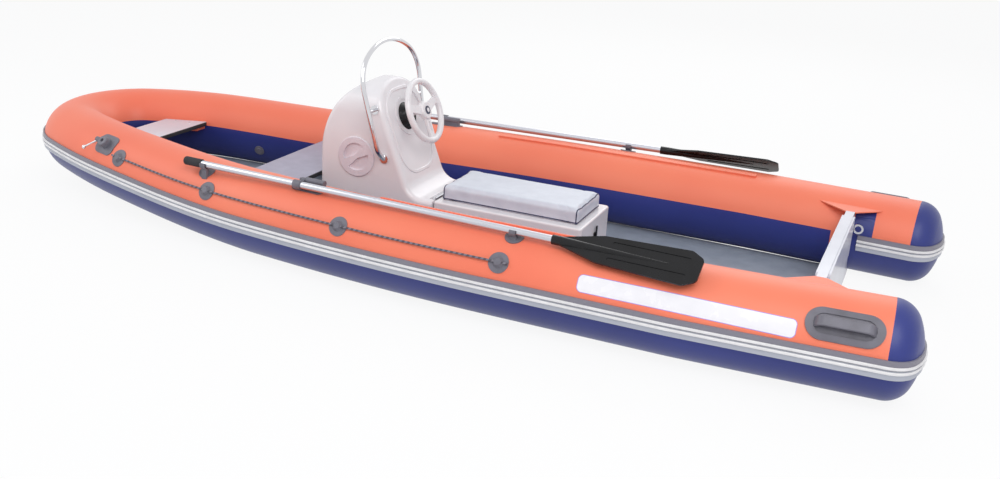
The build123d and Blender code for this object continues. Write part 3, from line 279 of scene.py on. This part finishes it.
finishes = {
    orangeFabric: ["tube_upper_port", "tube_upper_starboard", "tube_upper_bow", "transom_flaps",
                   "bench_shelves", "bench_tracks"],
    blueFabric: ["tube_lower_port", "tube_lower_starboard", "tube_lower_bow", "stern_cap_port",
                 "stern_cap_starboard"],
    strakePaintedReflection: ["rub_strake"],
    whiteRubber: ["rub_strake_ribs"],
    whiteGelcoat: ["hull_bottom", "console", "seat_box", "seat_lid"],
    greyGelcoat: ["transom", "transom_pads", "bow_bench"],
    mauveShadedBench: ["mid_bench"],
    lilacShadedHatch: ["console_hatch"],
    deckGrey: ["deck"],
    greyPlastic: ["rope_patches", "carry_handles", "rowlocks", "oar_clips", "anchor_lock", "air_valves",
                  "oar_collar_port", "oar_collar_starboard"],
    whitePlastic: ["steering_wheel"],
    chromeSteel: ["handrail", "transom_eyes", "anchor_lever"],
    satinSteel: ["seat_hinge"],
    drawnAluminium: ["oar_shaft_port", "oar_shaft_starboard"],
    blackPlastic: ["helm_bezel", "oar_blade_port", "oar_blade_starboard", "transom_knobs", "seat_latch"],
    navyEnamel: ["wheel_cap"],
    blackRubber: ["oar_grip_port", "oar_grip_starboard"],
    greyVinyl: ["seat_cushion"],
    greyRope: ["lifelines"],
}
for material, names in finishes.items():
    for name in names:
        for materialSlot in nodes[name].material_slots:
            materialSlot.material = material
print("finishes set on the CAD nodes")


# Modelling helpers
mergeDistance = 0.00002


def makeActive(piece):
    bpy.ops.object.select_all(action="DESELECT")
    piece.select_set(True)
    bpy.context.view_layer.objects.active = piece


def copyOf(source, name):
    # a separate object with its own mesh, its doubled corners merged
    piece = bpy.data.objects.new(name, source.data.copy())
    bpy.context.scene.collection.objects.link(piece)
    makeActive(piece)
    bpy.ops.object.mode_set(mode="EDIT")
    bpy.ops.mesh.select_all(action="SELECT")
    bpy.ops.mesh.remove_doubles(threshold=mergeDistance)
    bpy.ops.object.mode_set(mode="OBJECT")
    return piece


def applyModifier(piece, kind, **settings):
    makeActive(piece)
    modifier = piece.modifiers.new(kind.lower(), kind)
    for key, value in settings.items():
        setattr(modifier, key, value)
    bpy.ops.object.modifier_apply(modifier=modifier.name)


def dress(piece, name, material, body, smoothAngle=35.0):
    # place into the mesh, one finish, smooth where it turns gently, and onto its body
    makeActive(piece)
    bpy.ops.object.transform_apply(location=True, rotation=True, scale=True)
    piece.name = name
    piece.data.materials.clear()
    piece.data.materials.append(material)
    bpy.ops.object.shade_smooth_by_angle(angle=math.radians(smoothAngle))
    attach(piece, body)
    return piece


def cutAway(piece, planes):
    # each plane is a point and a direction, and what lies beyond it goes
    makeActive(piece)
    bpy.ops.object.mode_set(mode="EDIT")
    for point, outward in planes:
        bpy.ops.mesh.select_all(action="SELECT")
        bpy.ops.mesh.bisect(plane_co=point, plane_no=outward, clear_outer=True)
    bpy.ops.object.mode_set(mode="OBJECT")


def roundedPlanes(middle, along, across, halfLength, halfWidth, corner, cornerSteps=4):
    # planes round a rectangle whose corners are arcs
    planes = []
    for quarter, (alongSign, acrossSign) in enumerate([(1, 1), (-1, 1), (-1, -1), (1, -1)]):
        centre = middle + alongSign * (halfLength - corner) * along
        centre += acrossSign * (halfWidth - corner) * across
        for step in range(cornerSteps):
            turn = (quarter + step / cornerSteps) * math.pi / 2
            direction = math.cos(turn) * along + math.sin(turn) * across
            planes.append((centre + corner * direction, direction))
    return planes


# Fabric and film laid on the tubes: copies of a tube's skin, trimmed by planes and given a thickness
tubeSize = {"radius": 0.220, "spacing": 0.825, "height": 0.230}


def skinPatch(nodeName, name, planes, thickness, material):
    patch = copyOf(nodes[nodeName], name)
    cutAway(patch, planes)
    applyModifier(patch, "SOLIDIFY", thickness=thickness, offset=1.0)
    return dress(patch, name, material, "boat")


# A blank name plate on the port tube: white film over a violet film that shows as a thin edge
plateLook = {"aft": 0.05, "fore": 1.00, "angle": 30.0, "halfWidth": 0.038, "corner": 0.022, "edge": 0.003,
             "thickness": 0.0008, "edgeThickness": 0.0005}
plateTurn = math.radians(plateLook["angle"])
plateOut = Vector((0, math.cos(plateTurn), math.sin(plateTurn)))
plateAlong = Vector((1, 0, 0))
plateAcross = plateOut.cross(plateAlong)
tubeMiddle = Vector(((plateLook["aft"] + plateLook["fore"]) / 2, tubeSize["spacing"], tubeSize["height"]))
plateMiddle = tubeMiddle + tubeSize["radius"] * plateOut
for name, grow, thickness, material in [
        ("name_plate_edge", plateLook["edge"], plateLook["edgeThickness"], violetInk),
        ("name_plate", 0.0, plateLook["thickness"], whiteFilm)]:
    halfLength = (plateLook["fore"] - plateLook["aft"]) / 2 + grow
    planes = [(tubeMiddle, -plateOut)] + roundedPlanes(
        plateMiddle, plateAlong, plateAcross, halfLength, plateLook["halfWidth"] + grow,
        plateLook["corner"] + grow)
    skinPatch("tube_upper_port", name, planes, thickness, material)

# Bands where the transom is taped in: navy behind the board, orange before it, on both inner sides
bandLook = {"navyAft": -0.105, "navyFore": -0.002, "navyTop": 0.398, "orangeAft": 0.047, "orangeFore": 0.108,
            "thickness": 0.0009, "seamMargin": 0.0003}
for side, sign in [("port", 1), ("starboard", -1)]:
    inner = (Vector((0, sign * tubeSize["spacing"], 0)), Vector((0, sign, 0)))
    for tone, half, aft, fore, material, slotName, vertical in [
            ("navy", "upper", bandLook["navyAft"], bandLook["navyFore"], blueFabric, "blue_fabric", -1),
            ("orange", "lower", bandLook["orangeAft"], bandLook["orangeFore"], orangeFabric, "orange_fabric",
             1)]:
        nodeName = "tube_" + half + "_" + side
        low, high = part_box(nodeName)
        seam = low.z + bandLook["seamMargin"] if half == "upper" else high.z - bandLook["seamMargin"]
        planes = [(Vector((aft, 0, 0)), Vector((-1, 0, 0))), (Vector((fore, 0, 0)), Vector((1, 0, 0))), inner,
                  (Vector((0, 0, seam)), Vector((0, 0, vertical))),
                  (Vector((0, 0, bandLook["navyTop"])), Vector((0, 0, 1)))]
        skinPatch(nodeName, tone + "_tape_" + side, planes, bandLook["thickness"], material)
print("films and tapes laid on the tubes")

# Seat cushion: a vinyl cover stuffed tight, swollen from a slightly smaller block
cushionLook = {"start": 0.975, "voxel": 0.006, "pressure": 4.0, "frames": 20, "cap": 0.013, "fill": 0.85,
               "restGap": 0.0004, "smoothAngle": 80.0, "pipingRadius": 0.0034, "pipingSegments": 1,
               "pipingSmoothAngle": 60.0, "endPanel": 0.030, "footHeight": 0.010}
cushionLow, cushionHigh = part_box("seat_cushion")
cushion = copyOf(nodes["seat_cushion"], "cushion_cover")
cushionMiddle = (cushionLow + cushionHigh) / 2
bpy.ops.object.mode_set(mode="EDIT")
bpy.ops.mesh.select_all(action="SELECT")
bpy.ops.transform.resize(value=(cushionLook["start"],) * 3, center_override=cushionMiddle)
bpy.ops.object.mode_set(mode="OBJECT")
applyModifier(cushion, "REMESH", mode="VOXEL", voxel_size=cushionLook["voxel"], adaptivity=0.0)
before = [vertex.co.copy() for vertex in cushion.data.vertices]
cloth = cushion.modifiers.new("swelling", "CLOTH")
cloth.settings.use_pressure = True
cloth.settings.uniform_pressure_force = cushionLook["pressure"]
cloth.settings.effector_weights.gravity = 0.0
cloth.point_cache.frame_start = 1
cloth.point_cache.frame_end = cushionLook["frames"]
for step in range(1, cushionLook["frames"] + 1):
    bpy.context.scene.frame_set(step)
bpy.ops.object.modifier_apply(modifier=cloth.name)
for vertex, place in zip(cushion.data.vertices, before):
    shift = vertex.co - place
    if shift.length > cushionLook["cap"]:
        vertex.co = place + shift.normalized() * cushionLook["cap"]
    vertex.co.z = max(vertex.co.z, cushionLow.z + cushionLook["restGap"])   # flat where it rests
bpy.context.scene.frame_set(1)
applyModifier(cushion, "SUBSURF", levels=1, render_levels=1)
dress(cushion, "cushion_cover", greyVinyl, "seat_lid", cushionLook["smoothAngle"])
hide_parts("seat_cushion")


def pipingRound(name, point, direction):
    # a welt along the line where a plane meets the cover
    copyOf(cushion, name)
    bpy.ops.object.mode_set(mode="EDIT")
    bpy.ops.mesh.select_all(action="SELECT")
    bpy.ops.mesh.bisect(plane_co=point, plane_no=direction, clear_inner=True, clear_outer=True)
    bpy.ops.object.mode_set(mode="OBJECT")
    bpy.ops.object.convert(target="CURVE")
    welt = bpy.context.object
    welt.data.bevel_depth = cushionLook["pipingRadius"]
    welt.data.bevel_resolution = cushionLook["pipingSegments"]
    bpy.ops.object.convert(target="MESH")
    return dress(bpy.context.object, name, navyPiping, "seat_lid",
                 cushionLook["pipingSmoothAngle"])


pipingRound("piping_aft", Vector((cushionLow.x + cushionLook["endPanel"], 0, 0)), Vector((1, 0, 0)))
pipingRound("piping_fore", Vector((cushionHigh.x - cushionLook["endPanel"], 0, 0)), Vector((1, 0, 0)))
pipingRound("piping_foot", Vector((0, 0, cushionLow.z + cushionLook["footHeight"])), Vector((0, 0, 1)))
print("cushion stuffed and piped")

# Pan-head screws at the benches' ends: one modelled, the rest copied, all joined
screwLook = {"radius": 0.0065, "height": 0.0030, "dome": 0.0016, "domeSegments": 3, "socket": 0.0032,
             "socketDepth": 0.0014, "sides": 20, "facingUp": 0.99, "smoothAngle": 40.0, "fromEdge": 0.075}
benchNames = ["mid_bench", "bow_bench"]
# the bow bench narrows, so its screws sit further in
screwFromEnd = {"mid_bench": 0.030, "bow_bench": 0.085}


def selectTop(piece, height):
    # only the faces that look straight up at this height
    for face in piece.data.polygons:
        face.select = face.normal.z > screwLook["facingUp"] and face.center.z > height * screwLook["facingUp"]


def modelScrew():
    bpy.ops.object.select_all(action="DESELECT")
    bpy.ops.mesh.primitive_cylinder_add(vertices=screwLook["sides"], radius=screwLook["radius"],
                                        depth=screwLook["height"], location=(0, 0, screwLook["height"] / 2))
    screw = bpy.context.object
    bpy.ops.object.transform_apply(location=True)
    bpy.ops.object.mode_set(mode="EDIT")
    bpy.ops.mesh.select_mode(type="FACE")
    bpy.ops.mesh.select_all(action="DESELECT")
    bpy.ops.object.mode_set(mode="OBJECT")
    selectTop(screw, screwLook["height"])
    bpy.ops.object.mode_set(mode="EDIT")
    bpy.ops.mesh.bevel(offset=screwLook["dome"], segments=screwLook["domeSegments"])
    bpy.ops.object.mode_set(mode="OBJECT")
    selectTop(screw, screwLook["height"])
    bpy.ops.object.mode_set(mode="EDIT")
    bpy.ops.mesh.inset(thickness=screwLook["radius"] - screwLook["dome"] - screwLook["socket"])
    bpy.ops.mesh.extrude_region_move(TRANSFORM_OT_translate={"value": (0, 0, -screwLook["socketDepth"])})
    bpy.ops.object.mode_set(mode="OBJECT")
    return screw


screwPlaces = []
for bench in benchNames:
    low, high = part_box(bench)
    reach = high.y - screwFromEnd[bench]
    for x in [low.x + screwLook["fromEdge"], high.x - screwLook["fromEdge"]]:
        screwPlaces += [(x, reach, high.z), (x, -reach, high.z)]
pattern = modelScrew()
screws = []
for place in screwPlaces:
    screw = bpy.data.objects.new("bench_screw", pattern.data.copy())
    screw.location = place
    bpy.context.scene.collection.objects.link(screw)
    screws.append(screw)
bpy.data.objects.remove(pattern)
makeActive(screws[0])
for screw in screws:
    screw.select_set(True)
bpy.ops.object.join()
dress(screws[0], "bench_screws", chromeSteel, "boat", screwLook["smoothAngle"])

# Rubber edging on the benches' aft edges
edgeLook = {"depth": 0.007, "overlap": 0.0015, "rounding": 0.002, "roundingSegments": 3, "inset": 0.020,
            "rimDepth": 0.004, "lap": 0.0005, "smoothAngle": 40.0}
for bench in benchNames:
    low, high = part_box(bench)
    rim = [v.co.y for v in nodes[bench].data.vertices if v.co.x < low.x + edgeLook["rimDepth"]]
    bpy.ops.object.select_all(action="DESELECT")
    bpy.ops.mesh.primitive_cube_add(size=1.0)
    edging = bpy.context.object
    edging.scale = (edgeLook["depth"], max(rim) - min(rim) - edgeLook["inset"],
                    high.z - low.z + 2 * edgeLook["overlap"])
    edging.location = (low.x - edgeLook["depth"] / 2 + edgeLook["lap"], 0, (low.z + high.z) / 2)
    bpy.ops.object.transform_apply(location=True, rotation=True, scale=True)
    applyModifier(edging, "BEVEL", width=edgeLook["rounding"], segments=edgeLook["roundingSegments"])
    dress(edging, bench + "_edging", blackRubber, "boat", edgeLook["smoothAngle"])

# White button in the middle of the wheel's cap
buttonLook = {"radius": 0.0125, "height": 0.0016, "rounding": 0.0006, "roundingSegments": 2, "sides": 40,
              "slope": 21.4, "smoothAngle": 40.0}
wheelSlope = math.radians(buttonLook["slope"])
wheelAxis = Vector((-math.cos(wheelSlope), 0, math.sin(wheelSlope)))
capReach = max(vertex.co.dot(wheelAxis) for vertex in nodes["wheel_cap"].data.vertices)
capLow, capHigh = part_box("wheel_cap")
capMiddle = (capLow + capHigh) / 2
buttonPlace = capMiddle + wheelAxis * (capReach - capMiddle.dot(wheelAxis) + buttonLook["height"] / 2)
bpy.ops.object.select_all(action="DESELECT")
bpy.ops.mesh.primitive_cylinder_add(vertices=buttonLook["sides"], radius=buttonLook["radius"],
                                    depth=buttonLook["height"])
button = bpy.context.object
buttonTurn = wheelAxis.to_track_quat("Z", "Y").to_matrix().to_4x4()
button.matrix_world = Matrix.Translation(buttonPlace) @ buttonTurn
bpy.ops.object.transform_apply(location=True, rotation=True, scale=True)
applyModifier(button, "BEVEL", width=buttonLook["rounding"], segments=buttonLook["roundingSegments"])
dress(button, "wheel_button", whitePlastic, "steering_wheel", buttonLook["smoothAngle"])
print("screws, edgings and wheel button set")

# Camera at the photograph's view, worked out for a frame 1000 pixels wide
view = {"place": (-0.3798, 5.2949, 2.1599), "yaw": -1.1659, "pitch": -0.3511, "roll": 0.0536,
        "focalPixels": 1091.19, "shift": (0.014911, -0.000728), "sensor": 36.0, "framePixels": 1000.0}
level = math.cos(view["pitch"])
forward = Vector((level * math.cos(view["yaw"]), level * math.sin(view["yaw"]), math.sin(view["pitch"])))
levelRight = forward.cross(Vector((0, 0, 1))).normalized()
levelUp = levelRight.cross(forward)
right = math.cos(view["roll"]) * levelRight + math.sin(view["roll"]) * levelUp
up = math.cos(view["roll"]) * levelUp - math.sin(view["roll"]) * levelRight
bpy.ops.object.camera_add()
camera = bpy.context.object
cameraTurn = Matrix((right, up, -forward)).transposed().to_4x4()
camera.matrix_world = Matrix.Translation(view["place"]) @ cameraTurn
camera.data.sensor_width = view["sensor"]
camera.data.lens = view["sensor"] * view["focalPixels"] / view["framePixels"]
camera.data.shift_x, camera.data.shift_y = view["shift"]
bpy.context.scene.camera = camera

# Stage: a pale floor at the waterline, soft lamps overhead and a white world
stageLook = {"floorSize": 60.0, "floorMiddle": (2.2, 0, 0), "floorColour": "#f4f4f5", "floorRoughness": 0.9,
             "floorWhite": 0.9, "worldStrength": 0.58, "worldColour": "#eef1f6", "white": "#ffffff"}
lamps = [
    # name, place, target, size, watts
    ("keyLamp", (-1.5, 4.5, 5.5), (2.2, 0.0, 0.3), 4.5, 235.0),
    ("bowLamp", (7.5, 3.0, 4.5), (3.0, 0.0, 0.3), 4.0, 105.0),
    ("farLamp", (2.0, -6.0, 5.0), (2.2, 0.0, 0.3), 5.0, 130.0),
]


def seenRays(tree):
    # 1 for the rays with which the camera, metal and glass see a surface
    rays = addNode(tree, "ShaderNodeLightPath")
    bright = addNode(tree, "ShaderNodeMath", {0: rays.outputs["Is Camera Ray"],
                                              1: rays.outputs["Is Glossy Ray"]}, operation="ADD")
    total = addNode(tree, "ShaderNodeMath", {0: bright.outputs["Value"],
                                             1: rays.outputs["Is Transmission Ray"]}, operation="ADD",
                    use_clamp=True)
    return total.outputs["Value"]


bpy.ops.object.select_all(action="DESELECT")
bpy.ops.mesh.primitive_plane_add(size=stageLook["floorSize"], location=stageLook["floorMiddle"])
floor = bpy.context.object
floor.name = "studioFloor"
floorPaint, floorTree, floorShader = newMaterial("matt floor paint", Roughness=stageLook["floorRoughness"],
                                                 Base_Color=linearColour(stageLook["floorColour"]))
floor.data.materials.append(floorPaint)
# what is seen of the floor is mostly white, with the shadow left in
floorShare = addNode(floorTree, "ShaderNodeMath", {0: seenRays(floorTree), 1: stageLook["floorWhite"]},
                     operation="MULTIPLY")
floorGlow = addNode(floorTree, "ShaderNodeEmission", {"Color": linearColour(stageLook["white"]),
                                                      "Strength": 1.0})
floorMix = addNode(floorTree, "ShaderNodeMixShader", {
    0: floorShare.outputs["Value"], 1: floorShader.outputs["BSDF"], 2: floorGlow.outputs["Emission"]})
floorTree.links.new(floorMix.outputs["Shader"], floorTree.nodes["Material Output"].inputs["Surface"])
for name, place, target, size, watts in lamps:
    bpy.ops.object.light_add(type="AREA", location=place)
    lamp = bpy.context.object
    lamp.name = name
    lamp.data.energy = watts
    lamp.data.size = size
    lamp.rotation_euler = (Vector(target) - Vector(place)).to_track_quat("-Z", "Y").to_euler()
world = bpy.data.worlds.new("studio world")
bpy.context.scene.world = world
world.use_nodes = True
background = world.node_tree.nodes["Background"]
background.inputs["Color"].default_value = linearColour(stageLook["worldColour"])
background.inputs["Strength"].default_value = stageLook["worldStrength"]
whiteBackdrop = addNode(world.node_tree, "ShaderNodeBackground", {"Color": linearColour(stageLook["white"]),
                                                                  "Strength": 1.0})
mixed = addNode(world.node_tree, "ShaderNodeMixShader", {
    0: seenRays(world.node_tree), 1: background.outputs["Background"],
    2: whiteBackdrop.outputs["Background"]})
world.node_tree.links.new(mixed.outputs["Shader"], world.node_tree.nodes["World Output"].inputs["Surface"])
bpy.context.scene.view_settings.view_transform = "Standard"
print("camera, floor and lamps set")
